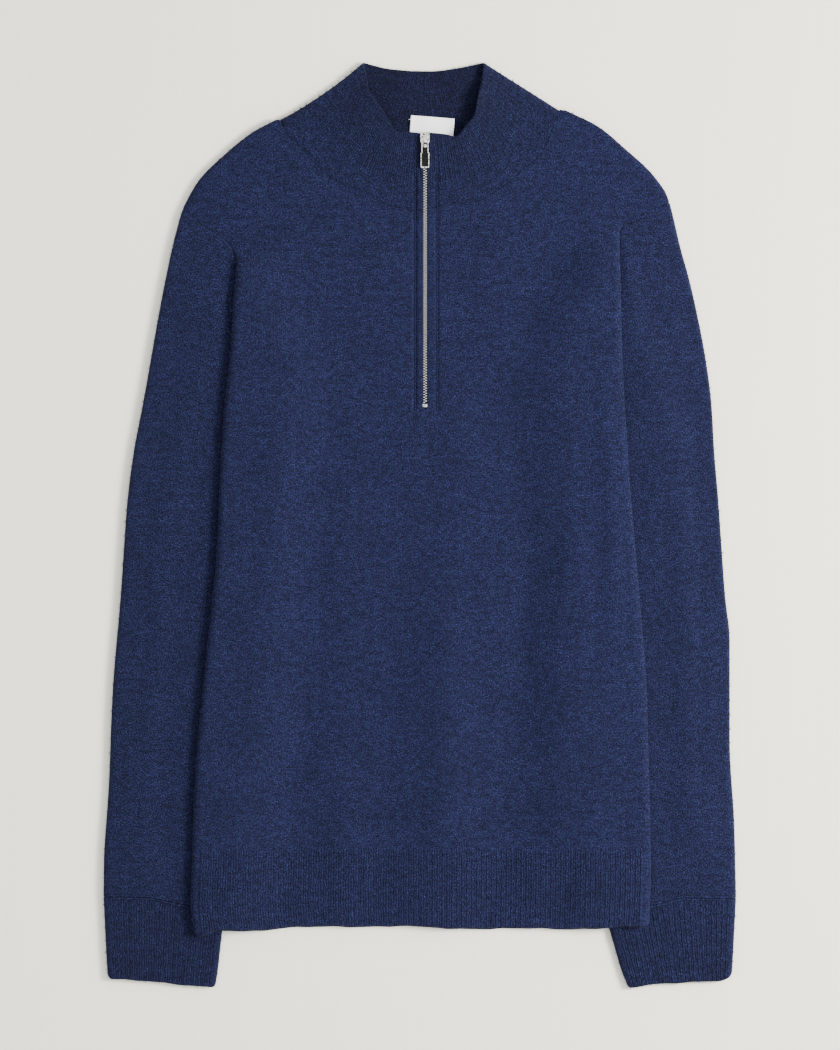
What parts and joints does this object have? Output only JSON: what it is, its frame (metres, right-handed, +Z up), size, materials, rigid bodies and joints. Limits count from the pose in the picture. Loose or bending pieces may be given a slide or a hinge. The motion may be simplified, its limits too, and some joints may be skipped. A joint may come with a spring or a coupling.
{
  "type": "quarter zip sweater",
  "caption": "Fine knit quarter zip sweater laid flat, with a rib collar, hem and cuffs, sleeves folded behind the body and a hinged metal zip pull.",
  "frame": {"origin": "on the surface it lies on, under the middle of its outline", "axes": "+Y towards the collar, +X to the wearer's left sleeve as seen from above, +Z up from the surface"},
  "size_m": [0.553, 0.8085, 0.0172],
  "materials": {
    "knit": "fine plain knit in heathered navy wool, matt with a soft fuzz",
    "rib": "navy rib knit, matt",
    "tape": "dark navy woven zip tape",
    "zip_metal": "pale polished metal, slightly warm",
    "label": "bare white woven satin label"
  },
  "bodies": {
    "garment": {"front_panel": "knit", "back_panel": "knit", "collar": "rib", "sleeve_left": "knit", "sleeve_right": "knit", "cuff_left": "rib", "cuff_right": "rib", "zip_tape_left": "tape", "zip_tape_right": "tape", "zip_chain": "zip_metal", "zip_stop": "zip_metal", "zip_slider": "zip_metal", "label": "label"},
    "pull": {"zip_pull": "zip_metal"}
  },
  "joints": [
    {"name": "pull_hinge", "type": "hinge", "parent": "garment", "child": "pull", "pos_m": [0.005, 0.3355, 0.0152], "axis": [-1, 0, 0], "range_deg": [0, 165]}
  ]
}
